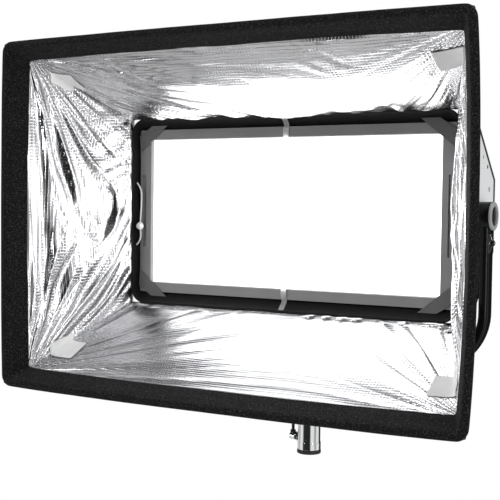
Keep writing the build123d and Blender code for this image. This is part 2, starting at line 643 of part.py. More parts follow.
def save_head():
    """Lamp head with its inner pieces and controls."""
    for side in SIDES:
        save(f"side_plate_{side}", side_plate(side))
    save("pivot_stubs", group([pivot_stub(side) for side in SIDES]))
    save("friction_washers", group([friction_washer(side) for side in SIDES]))
    for name, make in {"rear_housing": rear_housing, "front_bezel": front_bezel,
                       "diffuser_panel": diffuser_panel, "reflector_tray": reflector_tray,
                       "led_board": led_board, "led_emitters": led_emitters,
                       "heat_sink": heat_sink, "chassis_plate": chassis_plate,
                       "power_supply": power_supply, "driver_board": driver_board,
                       "housing_screws": housing_screws, "control_fascia": control_fascia,
                       "display_glass": display_glass, "power_rocker": power_rocker}.items():
        save(name, make())
    save("fan_frames", group([fan_frame(FAN_X), fan_frame(FAN_X + 100)]))
    save("fan_rotor_inner", fan_rotor(FAN_X))
    save("fan_rotor_outer", fan_rotor(FAN_X + 100))
    for name, place in KNOBS.items():
        save(name, control_knob(*place))
    for name, place in BUTTONS.items():
        save(name, push_button(*place))
    save("panel_sockets", group([panel_socket(*place) for place in SOCKETS.values()]))


def save_softbox():
    """Softbox fabric, frame rods, straps and toggle cord."""
    for place in list(ENDS) + list(SIDES):
        save(f"shell_{place}", wall_panel(place, SHELL_REAR, SHELL_FRONT, FABRIC))
        save(f"lining_{place}", wall_panel(place, LINING_REAR, LINING_FRONT, FABRIC))
    places = list(ENDS) + list(SIDES)
    save("front_lip", group([wall_panel(place, LIP_REAR, LIP_FRONT, FABRIC) for place in places]))
    save("rear_collar", group([collar(place) for place in places]))
    save("front_rods", group([front_rod(place) for place in places]))
    save("front_elbows", front_elbows())
    save("rear_frame", rear_frame())
    save("corner_rods", group([corner_rod(*corner) for corner in CORNERS]))
    save("rod_pockets", group([rod_pocket(*corner) for corner in CORNERS]))
    save("corner_straps", group([corner_strap(*corner) for corner in CORNERS]))
    save("centre_strap", centre_strap())
    save("toggle_cord", toggle_cord())
    save("cord_ball", cord_ball())


os.makedirs("parts", exist_ok=True)
save_yoke()
save_head()
save_softbox()
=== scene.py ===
"""Looks of the strip softbox: camera, cord, fabric, materials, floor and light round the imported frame."""

import json
import math

import bpy
from mathutils import Matrix, Vector, noise
from mathutils.bvhtree import BVHTree

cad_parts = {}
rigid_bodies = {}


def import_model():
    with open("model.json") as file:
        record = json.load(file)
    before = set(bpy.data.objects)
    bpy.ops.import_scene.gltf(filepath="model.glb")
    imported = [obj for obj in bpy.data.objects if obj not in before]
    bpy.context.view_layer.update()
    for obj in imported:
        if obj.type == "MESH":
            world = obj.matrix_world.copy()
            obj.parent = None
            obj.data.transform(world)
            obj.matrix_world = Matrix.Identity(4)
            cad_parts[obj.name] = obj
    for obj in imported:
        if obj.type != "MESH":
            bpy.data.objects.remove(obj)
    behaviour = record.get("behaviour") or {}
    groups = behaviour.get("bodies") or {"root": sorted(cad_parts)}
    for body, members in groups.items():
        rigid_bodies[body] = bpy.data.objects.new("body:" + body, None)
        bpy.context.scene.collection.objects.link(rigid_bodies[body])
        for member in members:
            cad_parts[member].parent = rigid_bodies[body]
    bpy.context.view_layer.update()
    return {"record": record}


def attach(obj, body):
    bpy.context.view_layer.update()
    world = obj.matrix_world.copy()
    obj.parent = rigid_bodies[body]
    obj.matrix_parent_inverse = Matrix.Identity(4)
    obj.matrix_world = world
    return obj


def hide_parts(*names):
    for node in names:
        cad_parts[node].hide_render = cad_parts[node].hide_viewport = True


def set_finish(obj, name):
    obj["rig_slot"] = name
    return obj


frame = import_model()

TILT_Z = 0.465
FRONT_Z = TILT_Z - 0.0089
SIDES = {"left": -1, "right": 1}
ENDS = {"top": 1, "bottom": -1}


# ---- camera
CAMERA_PLACE = (0.8855, -1.8480, 0.4819)
CAMERA_YAW, CAMERA_PITCH, CAMERA_ROLL = 29.0, -2.53, 0.71
FOCAL_LENGTH, SENSOR_WIDTH = 75.19, 36.0
FAR_CLIP = 60.0


def make_camera():
    """Camera at the photograph's viewing angle, aimed by yaw, pitch and roll in degrees."""
    yaw, pitch, roll = (math.radians(angle) for angle in (CAMERA_YAW, CAMERA_PITCH, CAMERA_ROLL))
    look = Vector((-math.sin(yaw) * math.cos(pitch), math.cos(yaw) * math.cos(pitch), math.sin(pitch)))
    right = look.cross(Vector((0, 0, 1))).normalized()
    up = right.cross(look)
    right2 = math.cos(roll) * right + math.sin(roll) * up
    up2 = -math.sin(roll) * right + math.cos(roll) * up
    turn = Matrix((right2, up2, -look)).transposed()
    data = bpy.data.cameras.new("camera")
    data.lens = FOCAL_LENGTH
    data.sensor_width = SENSOR_WIDTH
    data.clip_end = FAR_CLIP
    camera = bpy.data.objects.new("camera", data)
    bpy.context.scene.collection.objects.link(camera)
    camera.matrix_world = Matrix.Translation(CAMERA_PLACE) @ turn.to_4x4()
    bpy.context.scene.camera = camera


make_camera()


# ---- shared mesh and material tools
def link_mesh(name, vertices, faces, body):
    """A smooth-shaded mesh object in the row frame that rides on a body."""
    mesh = bpy.data.meshes.new(name)
    mesh.from_pydata([tuple(v) for v in vertices], [], faces)
    mesh.update()
    piece = bpy.data.objects.new(name, mesh)
    bpy.context.scene.collection.objects.link(piece)
    mesh.polygons.foreach_set("use_smooth", [True] * len(mesh.polygons))
    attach(piece, body)
    return piece


def subdivide(piece, levels):
    """Rounds a mesh with a subdivision modifier."""
    smooth = piece.modifiers.new("Subdivision", "SUBSURF")
    smooth.levels = smooth.render_levels = levels


class Shader:
    """A node material with short calls for what every surface here needs."""

    def __init__(self, name, color, roughness, metallic=0.0, **sockets):
        self.material = bpy.data.materials.new(name)
        self.material.use_nodes = True
        self.tree = self.material.node_tree
        self.nodes, self.links = self.tree.nodes, self.tree.links
        self.bsdf = self.nodes["Principled BSDF"]
        self.color = (*color, 1.0)
        self.bsdf.inputs["Base Color"].default_value = self.color
        self.bsdf.inputs["Roughness"].default_value = roughness
        self.bsdf.inputs["Metallic"].default_value = metallic
        for key, value in sockets.items():
            self.bsdf.inputs[key.replace("_", " ")].default_value = value
        self.normal = None

    def node(self, kind, **values):
        node = self.nodes.new(kind)
        for key, value in values.items():
            if hasattr(node, key):
                setattr(node, key, value)
            else:
                node.inputs[key.replace("_", " ")].default_value = value
        return node

    def coords(self, space="Object"):
        if space == "creases":
            return self.node("ShaderNodeUVMap", uv_map="creases").outputs["UV"]
        return self.node("ShaderNodeTexCoord").outputs[space]

    def noise(self, scale, detail=3.0, stretch=(1, 1, 1), space="Object", rough=0.5):
        mapping = self.node("ShaderNodeMapping", Scale=stretch)
        self.links.new(self.coords(space), mapping.inputs["Vector"])
        texture = self.node("ShaderNodeTexNoise", Scale=scale, Detail=detail, Roughness=rough)
        self.links.new(mapping.outputs["Vector"], texture.inputs["Vector"])
        return texture.outputs["Fac"]

    def crease_lines(self, scale, stretch):
        """Height that drops along sharp lines between flat patches of cloth."""
        mapping = self.node("ShaderNodeMapping", Scale=stretch)
        self.links.new(self.coords("creases"), mapping.inputs["Vector"])
        texture = self.node("ShaderNodeTexVoronoi", feature="DISTANCE_TO_EDGE", Scale=scale)
        self.links.new(mapping.outputs["Vector"], texture.inputs["Vector"])
        return self.ramp(texture.outputs["Distance"], 0.0, 0.22)

    def ramp(self, source, low, high, values=(0.0, 1.0)):
        node = self.node("ShaderNodeMapRange")
        node.inputs["From Min"].default_value = low
        node.inputs["From Max"].default_value = high
        node.inputs["To Min"].default_value = values[0]
        node.inputs["To Max"].default_value = values[1]
        self.links.new(source, node.inputs["Value"])
        return node.outputs["Result"]

    def math(self, operation, a, b):
        node = self.node("ShaderNodeMath", operation=operation)
        for k, value in enumerate((a, b)):
            if isinstance(value, (int, float)):
                node.inputs[k].default_value = value
            else:
                self.links.new(value, node.inputs[k])
        return node.outputs["Value"]

    def bump(self, height, strength, distance):
        node = self.node("ShaderNodeBump", Strength=strength, Distance=distance)
        self.links.new(height, node.inputs["Height"])
        if self.normal is not None:
            self.links.new(self.normal, node.inputs["Normal"])
        self.normal = node.outputs["Normal"]
        self.links.new(self.normal, self.bsdf.inputs["Normal"])

    def soften(self, radius):
        """Rounds hard edges in the shading, by the given radius in metres."""
        self.normal = self.node("ShaderNodeBevel", Radius=radius).outputs["Normal"]
        self.links.new(self.normal, self.bsdf.inputs["Normal"])

    def vary_color(self, source, other, amount=1.0):
        node = self.node("ShaderNodeMix", data_type="RGBA")
        factor, color_a, color_b = node.inputs[0], node.inputs[6], node.inputs[7]
        color_a.default_value = self.color
        color_b.default_value = (*other, 1.0)
        self.links.new(self.math("MULTIPLY", source, amount), factor)
        self.links.new(node.outputs[2], self.bsdf.inputs["Base Color"])

    def vary_roughness(self, source, low, high):
        self.links.new(self.ramp(source, 0.25, 0.75, (low, high)), self.bsdf.inputs["Roughness"])

    def weave(self, pitch, space="UV"):
        """Height of crossing raised threads at the given pitch, from coordinates in metres."""
        heights = []
        for direction in ("X", "Y"):
            wave = self.node("ShaderNodeTexWave", wave_type="BANDS", bands_direction=direction,
                             wave_profile="SIN", Scale=2 * math.pi / (20 * pitch), Distortion=0.0)
            self.links.new(self.coords(space), wave.inputs["Vector"])
            heights.append(self.math("POWER", wave.outputs["Fac"], 6.0))
        return self.math("MAXIMUM", *heights)


# ---- toggle cord
CORD_ROUTE = [(-0.3310, -0.1240, 0.056), (-0.3215, -0.1235, 0.048), (-0.3190, -0.1240, 0.022),
              (-0.3220, -0.1255, -0.030), (-0.3195, -0.1240, -0.058), (-0.3310, -0.1240, -0.068)]
CORD_DIAMETER = 0.003


def make_toggle_cord():
    """Elastic cord from the collar's side, through the ball, back into the collar."""
    curve = bpy.data.curves.new("toggle_cord_line", "CURVE")
    curve.dimensions = "3D"
    spline = curve.splines.new("NURBS")
    spline.points.add(len(CORD_ROUTE) - 1)
    for point, (x, y, height) in zip(spline.points, CORD_ROUTE):
        point.co = (x, y, TILT_Z + height, 1.0)
        point.radius = CORD_DIAMETER / 2
    spline.order_u = 3
    spline.use_endpoint_u = True
    spline.resolution_u = 16
    curve.bevel_depth = 1.0  # scaled by each point's radius, so the box round the curve is right
    curve.bevel_resolution = 4
    cord = bpy.data.objects.new("toggle_cord_line", curve)
    bpy.context.scene.collection.objects.link(cord)
    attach(cord, "softbox")
    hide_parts("toggle_cord")
    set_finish(cord, "white_elastic")
    x, y, height = CORD_ROUTE[0]


make_toggle_cord()


# ---- fabric walls of the softbox
# An edge ring is (half width, half height, y, height of its middle); a reach is (outwards, inwards).
REAR = (0.3365, 0.1820, -0.1305, TILT_Z)
FRONT = (0.4135, 0.2872, -0.3580, FRONT_Z)
SHELL_REAR = (0.3455, 0.1905, -0.1275, TILT_Z)
SHELL_FRONT = (0.4368, 0.3101, -0.3880, FRONT_Z)
ROD_BOW = {"top": 0.0020, "bottom": 0.0045, "left": 0.0030, "right": 0.0085}
FAN_SPLIT = {"top": 0.72, "bottom": 0.64, "left": 0.55, "right": 0.5}
FAN_ROUND = 0.25
SIM_FRAMES = 24
CLOTH_SUBDIVISIONS = 1
CLOTH_GRAVITY = 0.25
LINING_BENDING, SHELL_BENDING = 0.6, 0.4
LINING_REACH = (0.0035, 0.030)
SHELL_REACH = (0.006, 0.0015)
LINING_SEEDS = {"top": 11.3, "bottom": 23.9, "left": 37.1, "right": 51.7}
SHELL_SEEDS = {"top": 61.3, "bottom": 73.9, "left": 87.1, "right": 91.7}


def bow_out(point):
    """How far the sprung front rods push this point of the front frame outwards."""
    across, up = point.x / FRONT[0], (point.z - FRONT_Z) / FRONT[1]
    most = max(abs(across), abs(up), 1e-6)
    a, b = abs(across) / most, abs(up) / most
    side = ROD_BOW["right" if across > 0 else "left"]
    end = ROD_BOW["top" if up > 0 else "bottom"]
    return Vector((math.copysign(side * (1 - b ** 3) * a ** 8, across), 0,
                   math.copysign(end * (1 - a ** 3) * b ** 8, up)))


def edge_points(place, edge):
    """The two ends of one edge of a wall: left to right, or bottom to top."""
    half_w, half_h, y, z = edge
    if place in ENDS:
        height = z + ENDS[place] * half_h
        return Vector((-half_w, y, height)), Vector((half_w, y, height))
    x = SIDES[place] * half_w
    return Vector((x, y, z - half_h)), Vector((x, y, z + half_h))


def inward_of(place):
    """Direction from a wall towards the softbox's middle."""
    if place in ENDS:
        return Vector((0, 0, -ENDS[place]))
    return Vector((-SIDES[place], 0, 0))


class Wall:
    """A flat four-sided wall and the cloth that hangs on its four edges."""

    def __init__(self, place, rear, front, across, along):
        self.place = place
        self.r0, self.r1 = edge_points(place, rear)
        self.f0, self.f1 = edge_points(place, front)
        self.across, self.along = across, along
        normal = (self.r1 - self.r0).cross(self.f0 - self.r0).normalized()
        self.normal = normal if normal.dot(inward_of(place)) > 0 else -normal
        self.depth = ((self.f0 + self.f1) / 2 - (self.r0 + self.r1) / 2).length

    def width(self, v):
        return (1 - v) * (self.r1 - self.r0).length + v * (self.f1 - self.f0).length

    def fan(self, u, v):
        """Place among the creases that fan out of the two front corners: turn, radius, and side shift."""
        split = FAN_SPLIT[self.place]
        off_split = (split - u) / split if u < split else (u - split) / (1 - split)
        from_corner = math.hypot(1.0, FAN_ROUND) - math.hypot(off_split, FAN_ROUND)
        aside, back = from_corner * self.width(v) / 2 + 0.020, (1 - v) * self.depth + 0.004
        return math.atan2(back, aside), math.hypot(aside, back), 2.5 * (u - split)

    def point(self, u, v):
        front = self.f0.lerp(self.f1, u)
        return self.r0.lerp(self.r1, u).lerp(front + bow_out(front), v)

    def cells(self):
        for j in range(self.along + 1):
            for i in range(self.across + 1):
                yield i, j, i / self.across, j / self.along

    def build(self, name, fold, excess, body):
        """The wall's grid, with folds started by fold(u, v) and a rest shape wider by excess(v)."""
        points = [self.point(u, v) + self.normal * fold(self, u, v) for _, _, u, v in self.cells()]
        row = self.across + 1
        faces = [(j * row + i, j * row + i + 1, (j + 1) * row + i + 1, (j + 1) * row + i)
                 for j in range(self.along) for i in range(self.across)]
        if (points[1] - points[0]).cross(points[row] - points[0]).dot(self.normal) < 0:
            faces = [tuple(reversed(f)) for f in faces]
        piece = link_mesh(name, points, faces, body)
        layer = piece.data.uv_layers.new(name="cut")
        flat = [((u - 0.5) * self.width(v), v * self.depth) for _, _, u, v in self.cells()]
        creases = piece.data.uv_layers.new(name="creases")
        fans = [self.fan(u, v)[:2] for _, _, u, v in self.cells()]
        for loop in piece.data.loops:
            layer.data[loop.index].uv = flat[loop.vertex_index]
            creases.data[loop.index].uv = fans[loop.vertex_index]
        piece.shape_key_add(name="Basis")
        rest = piece.shape_key_add(name="rest")
        for k, (_, _, u, v) in enumerate(self.cells()):
            wide, deep = excess(v)
            rest.data[k].co = Vector((flat[k][0] * wide, flat[k][1] * deep, 0.0))
        held = piece.vertex_groups.new(name="held")
        edge = [k for k, (i, j, _, _) in enumerate(self.cells())
                if i in (0, self.across) or j in (0, self.along)]
        held.add(edge, 1.0, "REPLACE")
        return piece


def add_cloth(piece, weight, bending):
    """Cloth that is sewn down along its edges."""
    modifier = piece.modifiers.new("Cloth", "CLOTH")
    settings = modifier.settings
    settings.quality = 5
    settings.mass = 0.12
    settings.tension_stiffness = 25.0
    settings.compression_stiffness = 25.0
    settings.shear_stiffness = 4.0
    settings.bending_stiffness = bending
    settings.air_damping = 2.0
    settings.vertex_group_mass = "held"
    settings.pin_stiffness = 1.0
    settings.rest_shape_key = piece.data.shape_keys.key_blocks["rest"]
    settings.effector_weights.gravity = weight
    modifier.point_cache.frame_start = 1
    modifier.point_cache.frame_end = SIM_FRAMES


def settle(walls_and_pieces, outwards, inwards):
    """Runs the cloth, applies it, and keeps each point within reach of its flat wall."""
    for step in range(1, SIM_FRAMES + 1):
        bpy.context.scene.frame_set(step)
    graph = bpy.context.evaluated_depsgraph_get()
    for wall, piece in walls_and_pieces:
        settled = [v.co.copy() for v in piece.evaluated_get(graph).data.vertices]
        piece.modifiers.clear()
        piece.shape_key_clear()
        for vertex, place, (_, _, u, v) in zip(piece.data.vertices, settled, wall.cells()):
            height = (place - wall.point(u, v)).dot(wall.normal)
            kept = max(-outwards, min(inwards, height))
            vertex.co = place + wall.normal * (kept - height)
        subdivide(piece, CLOTH_SUBDIVISIONS)
    bpy.context.scene.frame_set(1)


def wrinkle(x, y, seed):
    """Smooth noise from -1 to 1."""
    return noise.noise(Vector((x, y, seed)))


def ridge(value):
    """Noise turned into sharp creases."""
    return 1.0 - 2.0 * abs(value)


def lining_fold(wall, u, v):
    """Long creases that fan out of the front corners, gathers at the rear rim, and slack between the rods."""
    fan, radius, shift = wall.fan(u, v)
    seed = LINING_SEEDS[wall.place] + shift
    across, along = u * wall.width(v), v * wall.depth
    middle = math.sin(math.pi * u) ** 0.4 * math.sin(math.pi * v) ** 0.5
    spread = min(1.0, radius / 0.16)
    drift = 0.06 * wrinkle(across * 5, along * 5, seed + 21)
    big = 0.0170 * spread * ridge(wrinkle((fan + drift) * 5.0, radius * 1.3, seed))
    small = 0.0030 * spread * ridge(wrinkle((fan + drift) * 10, radius * 2.2, seed + 7))
    rear = math.exp(-along / 0.05) * min(1, along / 0.006)
    gathers = 0.0060 * rear * ridge(wrinkle(across * 30, along * 4, seed))
    return middle * (big + small + 0.004) + gathers


def shell_fold(wall, u, v):
    """Shallow pulls in the stretched outer fabric."""
    across, along = u * wall.width(v), v * wall.depth
    seed = SHELL_SEEDS[wall.place]
    middle = math.sin(math.pi * u) ** 0.5 * math.sin(math.pi * v) ** 0.5
    pull = 0.0025 * wrinkle(across * 7, along * 5, seed)
    crease = 0.0012 * wrinkle(across * 25, along * 6, seed + 2)
    return middle * (pull + crease)


def lining_slack(v):
    """How much wider and deeper the lining is cut than its wall: most at the rear rim."""
    return 1.045 - 0.02 * v, 1.010


def shell_slack(v):
    """How much wider and deeper the shell is cut than its wall, the same everywhere."""
    return 1.006, 1.002


def finish_wall(kind, slot, wall, piece):
    """Hides the CAD node that a settled wall stands in for and gives the wall its slot; its flat size is
    worked out but not kept.
    """
    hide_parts(f"{kind}_{wall.place}")
    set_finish(piece, slot)
    max(wall.width(0), wall.width(1))
    wall.width(0.5) * wall.depth


def make_walls():
    """Silver lining and black shell, one sheet a side, settled together."""
    lining, shell = [], []
    for place in (*ENDS, *SIDES):
        wide = place in ENDS
        wall = Wall(place, REAR, FRONT, 168 if wide else 116, 60)
        piece = wall.build(f"lining_{place}_cloth", lining_fold, lining_slack, "softbox")
        add_cloth(piece, CLOTH_GRAVITY, LINING_BENDING)
        lining.append((wall, piece))
        outer = Wall(place, SHELL_REAR, SHELL_FRONT, 72 if wide else 52, 30)
        skin = outer.build(f"shell_{place}_cloth", shell_fold, shell_slack, "softbox")
        add_cloth(skin, CLOTH_GRAVITY, SHELL_BENDING)
        shell.append((outer, skin))
    settle(lining, *LINING_REACH)
    settle(shell, *SHELL_REACH)
    for wall, piece in lining:
        finish_wall("lining", "silver_lining", wall, piece)
    for wall, piece in shell:
        finish_wall("shell", "black_shell", wall, piece)
    return lining


linings = make_walls()


# ---- bands and patches sewn to the walls
HEM_CENTRE = (0.43365, 0.30695, -0.391)
HEM_R = 0.0072
HEM_CORNER_R = 0.013
LIP_INNER = (-0.0236, 0.0365)
STRAIGHT_STEPS = 60
CORNER_STEPS = 6


def ring(half_w, half_h, y, z, radius):
    """Points once round a rounded rectangle, starting at its lower right corner."""
    arcs = []
    for k, (s, v) in enumerate(((1, -1), (1, 1), (-1, 1), (-1, -1))):
        x0, z0 = s * (half_w - radius), z + v * (half_h - radius)
        angles = [math.radians(90 * (k - 1 + j / CORNER_STEPS)) for j in range(CORNER_STEPS + 1)]
        arcs.append([Vector((x0 + radius * math.cos(a), y, z0 + radius * math.sin(a))) for a in angles])
    points = []
    for arc, following in zip(arcs, arcs[1:] + arcs[:1]):
        points += arc
        points += [arc[-1].lerp(following[0], j / STRAIGHT_STEPS) for j in range(1, STRAIGHT_STEPS)]
    return points


def loft(name, rings, body):
    """A skin through closed rings of equal count, with UVs in metres."""
    count = len(rings[0])
    vertices = [p for points in rings for p in points]
    faces, uvs = [], []
    around = [0.0]
    for i in range(count):
        around.append(around[-1] + (rings[0][(i + 1) % count] - rings[0][i]).length)
    down = [0.0]
    for before, after in zip(rings, rings[1:]):
        down.append(down[-1] + (after[CORNER_STEPS + 5] - before[CORNER_STEPS + 5]).length)
    for j in range(len(rings) - 1):
        for i in range(count):
            i2 = (i + 1) % count
            faces.append((j * count + i, j * count + i2, (j + 1) * count + i2, (j + 1) * count + i))
            uvs += [(around[i], down[j]), (around[i + 1], down[j]),
                    (around[i + 1], down[j + 1]), (around[i], down[j + 1])]
    piece = link_mesh(name, vertices, faces, body)
    layer = piece.data.uv_layers.new(name="cut")
    for loop, uv in zip(layer.data, uvs):
        loop.uv = uv
    return piece, around[-1], down[-1]


def lip_profile():
    """Steps out from the hem's centre line and back from it: flat band, then the roll round the rod."""
    reach = math.hypot(*LIP_INNER)
    touch = math.atan2(LIP_INNER[1], -LIP_INNER[0]) + math.asin(HEM_R / reach) + math.pi / 2
    start = (HEM_R * math.cos(touch), HEM_R * math.sin(touch))
    band = [(LIP_INNER[0] + (start[0] - LIP_INNER[0]) * k / 8,
             -LIP_INNER[1] + (start[1] + LIP_INNER[1]) * k / 8) for k in range(9)]
    turn = [touch + (math.radians(-50) - touch) * k / 12 for k in range(1, 13)]
    roll = [(HEM_R * math.cos(a), HEM_R * math.sin(a)) for a in turn]
    return band + roll + [(0.0030, -0.0078)]


def make_lip():
    """Front band with its hem rolled round the rods, slightly uneven and creased at the mitred corners."""
    half_w, half_h, hem_y = HEM_CENTRE
    profile = lip_profile()
    rings = []
    for k, (out, forward) in enumerate(profile):
        corner = max(0.004, HEM_CORNER_R + out * 0.7)
        points = ring(half_w + out, half_h + out, hem_y - forward, FRONT_Z, corner)
        centre = Vector((0, hem_y, FRONT_Z))
        for i, point in enumerate(points):
            away = Vector((point.x - centre.x, 0, point.z - centre.z)).normalized()
            bowed = bow_out(point)
            uneven = 0.0009 * wrinkle(point.x * 9 + point.z * 7, k * 0.35, 5.5)
            fine = 0.0005 * wrinkle(point.x * 34 + point.z * 29, k * 0.5, 8.1)
            on_corner = i % (STRAIGHT_STEPS + CORNER_STEPS) == CORNER_STEPS // 2
            seam = 0.0011 if on_corner and k < len(profile) - 3 else 0.0
            flat_band = 1.0 if 0 < k < 8 else 0.45
            points[i] = point + bowed + away * flat_band * (uneven + fine) + Vector((0, seam, 0))
        rings.append(points)
    piece, around, down = loft("front_lip_band", rings, "softbox")
    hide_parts("front_lip")
    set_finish(piece, "loop_fabric")
    subdivide(piece, 1)


# Each ring of the collar is (half width, half height, y, corner radius, how loose the cloth is).
COLLAR_PROFILE = [(0.3302, 0.1642, -0.0630, 0.006, 0.0), (0.3300, 0.1640, -0.0800, 0.006, 0.2),
                  (0.3302, 0.1642, -0.0960, 0.006, 0.4), (0.3300, 0.1640, -0.1105, 0.007, 0.6),
                  (0.3322, 0.1695, -0.1175, 0.014, 1.0), (0.3342, 0.1750, -0.1240, 0.021, 1.0),
                  (0.3352, 0.1792, -0.1300, 0.026, 1.0), (0.3346, 0.1796, -0.1330, 0.028, 1.0),
                  (0.3358, 0.1808, -0.1346, 0.029, 1.0), (0.3376, 0.1826, -0.1338, 0.030, 1.0),
                  (0.3380, 0.1832, -0.1312, 0.029, 0.6)]


def make_collar():
    """Black rear collar: sleeve round the head, flared band, and a binding over the lining's raw edge."""
    rings = []
    for k, (half_w, half_h, y, corner, loose) in enumerate(COLLAR_PROFILE):
        points = ring(half_w, half_h, y, TILT_Z, corner)
        for i, point in enumerate(points):
            away = Vector((point.x, 0, point.z - TILT_Z)).normalized()
            wave = wrinkle(point.x * 16 + point.z * 11, k * 0.18, 2.7)
            pucker = wrinkle(point.x * 60 + point.z * 52, k * 0.4, 6.3)
            inwards = loose * (0.0016 * wave + 0.0007 * pucker)
            points[i] = point - away * inwards + Vector((0, loose * 0.0014 * wave, 0))
        rings.append(points)
    piece, around, down = loft("rear_collar_band", rings, "softbox")
    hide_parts("rear_collar")
    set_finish(piece, "collar_fabric")
    subdivide(piece, 1)


POCKET_BACK_Y, POCKET_FRONT_Y = -0.264, -0.312
POCKET_STEPS = 10
POCKET_LIFT = 0.0011


def seam_point(end, side, y):
    """Point on the lining's corner seam at depth y."""
    t = (REAR[2] - y) / (REAR[2] - FRONT[2])
    half_w = REAR[0] + t * (FRONT[0] - REAR[0])
    half_h = REAR[1] + t * (FRONT[1] - REAR[1])
    return Vector((SIDES[side] * half_w, y, TILT_Z + t * (FRONT_Z - TILT_Z) + ENDS[end] * half_h))


def laid_on(wall, tree, point):
    """The point dropped onto a settled wall and lifted a little towards the middle."""
    hit = tree.ray_cast(point + wall.normal * 0.05, -wall.normal, 0.1)[0]
    height = (hit - wall.r0).dot(wall.normal) if hit else 0.0
    flat = point - wall.normal * (point - wall.r0).dot(wall.normal)
    return flat + wall.normal * (height + POCKET_LIFT)


def pocket_leaf(wall, tree, end, side, back, front, direction):
    """One half of a pocket on one wall, as rows of points that start on the seam."""
    rows = []
    for j in range(POCKET_STEPS + 1):
        t = j / POCKET_STEPS
        start = seam_point(end, side, POCKET_BACK_Y + t * (POCKET_FRONT_Y - POCKET_BACK_Y))
        reach = back + t * (front - back)
        rows.append([laid_on(wall, tree, start + direction * reach * i / POCKET_STEPS)
                     for i in range(POCKET_STEPS + 1)])
    return rows


def make_pocket(end, side, walls, trees):
    """White patch folded over one corner seam, lying on both settled walls."""
    flat = pocket_leaf(walls[end], trees[end], end, side, 0.036, 0.050, Vector((-SIDES[side], 0, 0)))
    upright = pocket_leaf(walls[side], trees[side], end, side, 0.014, 0.020, Vector((0, 0, -ENDS[end])))
    inset = Vector((-SIDES[side], 0, -ENDS[end])) * POCKET_LIFT
    vertices = []
    for row_flat, row_upright in zip(flat, upright):
        seam = (row_flat[0] + row_upright[0]) / 2 + inset
        vertices += row_upright[:0:-1] + [seam] + row_flat[1:]
    across = 2 * POCKET_STEPS + 1
    faces = [(j * across + i, j * across + i + 1, (j + 1) * across + i + 1, (j + 1) * across + i)
             for j in range(POCKET_STEPS) for i in range(across - 1)]
    piece = link_mesh(f"rod_pocket_{end}_{side}", vertices, faces, "softbox")
    layer = piece.data.uv_layers.new(name="cut")
    for loop in piece.data.loops:
        j, i = divmod(loop.vertex_index, across)
        layer.data[loop.index].uv = (i / (across - 1) * 0.060, j / POCKET_STEPS * 0.050)
    thick = piece.modifiers.new("Thickness", "SOLIDIFY")
    thick.thickness = 0.0005
    subdivide(piece, 1)
    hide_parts("rod_pockets")
    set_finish(piece, "white_webbing")


def make_pockets():
    """One rod pocket at each corner of the lining."""
    walls = {wall.place: wall for wall, _ in linings}
    trees = {}
    for wall, piece in linings:
        mesh = piece.data
        corners = [v.co for v in mesh.vertices]
        trees[wall.place] = BVHTree.FromPolygons(corners, [p.vertices for p in mesh.polygons])
    for end in ENDS:
        for side in SIDES:
            make_pocket(end, side, walls, trees)


# The strap's path is (y, height above or below the middle), from the collar to the window.
STRAP_HALF_W = 0.0055
STRAP_HALF_PATH = [(-0.1318, 0.1800), (-0.1292, 0.1776), (-0.1225, 0.1712), (-0.1166, 0.1656),
                   (-0.1160, 0.1636), (-0.1168, 0.1616), (-0.1196, 0.1560), (-0.1202, 0.1480)]


def make_centre_strap():
    """White webbing across the window, from the top of the collar to its bottom."""
    path = STRAP_HALF_PATH + [(y, z) for y, z in ((-0.1204, 0.10), (-0.1205, 0.05), (-0.1205, 0.0),
                                                  (-0.1205, -0.05), (-0.1204, -0.10))]
    path += [(y, -z) for y, z in reversed(STRAP_HALF_PATH)]
    vertices = [(side * STRAP_HALF_W + 0.0006 * wrinkle(z * 30, 0.5, 4.4), y, TILT_Z + z)
                for y, z in path for side in (-1, 0, 1)]
    faces = [(3 * j + i, 3 * j + i + 1, 3 * j + i + 4, 3 * j + i + 3)
             for j in range(len(path) - 1) for i in range(2)]
    piece = link_mesh("centre_strap_band", vertices, faces, "softbox")
    subdivide(piece, 2)
    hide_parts("centre_strap")
    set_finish(piece, "white_webbing")


make_lip()
make_collar()
make_pockets()
make_centre_strap()


# ---- materials, one function a family
def painted(name, color, roughness, grain=0.00004, coat=0.0, metallic=0.0, gloss=0.5):
    """Painted, moulded or anodised surface with a fine grain and softened edges."""
    shader = Shader(name, color, roughness, metallic,
                    Coat_Weight=coat, Coat_Roughness=0.12, Specular_IOR_Level=gloss)
    shader.soften(0.0007)
    shader.bump(shader.noise(1400, 2.0), 0.5, grain)
    shader.vary_roughness(shader.noise(28, 4.0), roughness - 0.05, roughness + 0.07)
    shader.vary_color(shader.ramp(shader.noise(9, 5.0), 0.35, 0.75), [c * 0.82 for c in color], 0.7)
    return shader


def bare_metal(name, color, roughness, brushed=(1, 1, 1)):
    """Bare or plated metal with fine scratches."""
    shader = Shader(name, color, roughness, 1.0)
    shader.soften(0.0006)
    shader.bump(shader.noise(600, 2.0, brushed), 0.15, 0.00003)
    shader.vary_roughness(shader.noise(40, 5.0, brushed), roughness * 0.7, roughness * 1.5)
    return shader


def cloth(name, color, roughness, pitch, depth, sheen=0.05, space="UV"):
    """Woven cloth with a thread pitch and slow changes of tone."""
    shader = Shader(name, color, roughness, Sheen_Weight=sheen, Sheen_Roughness=0.5, Specular_IOR_Level=0.2)
    shader.bump(shader.weave(pitch, space), 0.7, depth)
    shader.bump(shader.noise(380, 3.0), 0.4, depth)
    shader.vary_color(shader.ramp(shader.noise(14, 5.0), 0.3, 0.75), [c * 0.7 for c in color], 0.8)
    return shader


